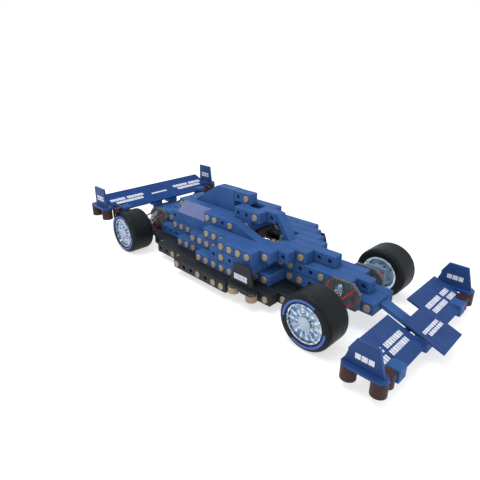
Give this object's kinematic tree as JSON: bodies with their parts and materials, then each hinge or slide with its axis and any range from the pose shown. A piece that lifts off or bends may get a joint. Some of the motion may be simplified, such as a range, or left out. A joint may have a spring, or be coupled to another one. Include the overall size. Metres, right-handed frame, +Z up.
{
  "type": "open wheel racing car model",
  "caption": "Construction-set model of an open wheel racing car: stacked perforated beams and pegs, thin tilted wings with endplates, and large wheels on rods.",
  "frame": {"origin": "on the floor under the middle of the overall length and width", "axes": "+X forward, +Y left, +Z up"},
  "size_m": [0.4384, 0.191, 0.0967],
  "materials": {
    "floor_plastic": "matte charcoal",
    "beam_plastic": "satin blue",
    "pale_panel": "satin lavender",
    "peg_plastic": "satin tan",
    "stud_plastic": "satin tan",
    "seat_plastic": "matte dark brown",
    "dull_metal": "satin grey",
    "plate_plastic": "rough dark grey",
    "disc_metal": "satin blue grey",
    "rod_plastic": "gloss red",
    "spring_chrome": "polished",
    "wing_plastic": "satin blue",
    "roller_plastic": "matte red-brown",
    "tyre_rubber": "satin black rubber",
    "rim_chrome": "polished",
    "cap_metal": "satin grey"
  },
  "bodies": {
    "chassis": {"barge_boards": "floor_plastic", "cockpit_console": "dull_metal", "cockpit_fairings": "beam_plastic", "fin_plate": "beam_plastic", "floor_beams": "floor_plastic", "floor_ramps": "floor_plastic", "floor_studs": "stud_plastic", "front_hub_carriers": "dull_metal", "front_suspension_rods": "rod_plastic", "front_wing_bases": "wing_plastic", "front_wing_blocks": "beam_plastic", "front_wing_centre_plate": "wing_plastic", "front_wing_endplates": "wing_plastic", "front_wing_panels": "wing_plastic", "front_wing_rollers": "roller_plastic", "front_wing_spar": "wing_plastic", "halo_strut": "beam_plastic", "keel_beams": "beam_plastic", "middle_beams": "beam_plastic", "nose_blocks": "beam_plastic", "nose_rod": "beam_plastic", "pegs_left": "peg_plastic", "pegs_right": "peg_plastic", "rear_brake_discs": "disc_metal", "rear_hub_carriers": "dull_metal", "rear_suspension_rods": "rod_plastic", "rear_wing_bases": "wing_plastic", "rear_wing_blocks": "beam_plastic", "rear_wing_centre_plate": "wing_plastic", "rear_wing_endplates": "wing_plastic", "rear_wing_panels": "wing_plastic", "rear_wing_pylons": "beam_plastic", "rear_wing_rollers": "roller_plastic", "rear_wing_spar": "wing_plastic", "roll_hoop_beams": "beam_plastic", "seat": "seat_plastic", "shoulder_beams": "beam_plastic", "side_panels": "beam_plastic", "sidepod_beams": "beam_plastic", "slanted_panels": "pale_panel", "spring_struts": "spring_chrome", "suspension_plates": "plate_plastic", "upper_beams": "beam_plastic"},
    "wheel_front_left": {"tyre_front_left": "tyre_rubber", "rim_front_left": "rim_chrome", "wheel_cap_front_left": "cap_metal"},
    "wheel_front_right": {"tyre_front_right": "tyre_rubber", "rim_front_right": "rim_chrome", "wheel_cap_front_right": "cap_metal"},
    "wheel_rear_left": {"tyre_rear_left": "tyre_rubber", "rim_rear_left": "rim_chrome", "wheel_cap_rear_left": "cap_metal"},
    "wheel_rear_right": {"tyre_rear_right": "tyre_rubber", "rim_rear_right": "rim_chrome", "wheel_cap_rear_right": "cap_metal"},
    "steering_knuckle_front_left": {"knuckle_front_left": "dull_metal", "brake_disc_front_left": "disc_metal"},
    "steering_knuckle_front_right": {"knuckle_front_right": "dull_metal", "brake_disc_front_right": "disc_metal"}
  },
  "joints": [
    {"name": "steer_front_left", "type": "hinge", "parent": "chassis", "child": "steering_knuckle_front_left", "pos_m": [0.12269, 0.0508, 0.027], "axis": [0, 0, 1], "range_deg": [-20, 20]},
    {"name": "steer_front_right", "type": "hinge", "parent": "chassis", "child": "steering_knuckle_front_right", "pos_m": [0.12269, -0.0508, 0.027], "axis": [0, 0, 1], "range_deg": [-20, 20]},
    {"name": "spin_front_left", "type": "hinge", "parent": "steering_knuckle_front_left", "child": "wheel_front_left", "pos_m": [0.12269, 0.0647, 0.027], "axis": [0, 1, 0], "continuous": true},
    {"name": "spin_front_right", "type": "hinge", "parent": "steering_knuckle_front_right", "child": "wheel_front_right", "pos_m": [0.12269, -0.0647, 0.027], "axis": [0, 1, 0], "continuous": true},
    {"name": "spin_rear_left", "type": "hinge", "parent": "chassis", "child": "wheel_rear_left", "pos_m": [-0.16941, 0.0647, 0.027], "axis": [0, 1, 0], "continuous": true},
    {"name": "spin_rear_right", "type": "hinge", "parent": "chassis", "child": "wheel_rear_right", "pos_m": [-0.16941, -0.0647, 0.027], "axis": [0, 1, 0], "continuous": true}
  ],
  "couplings": [
    {"joint": "steer_front_right", "follows": "steer_front_left", "ratio": 1}
  ]
}
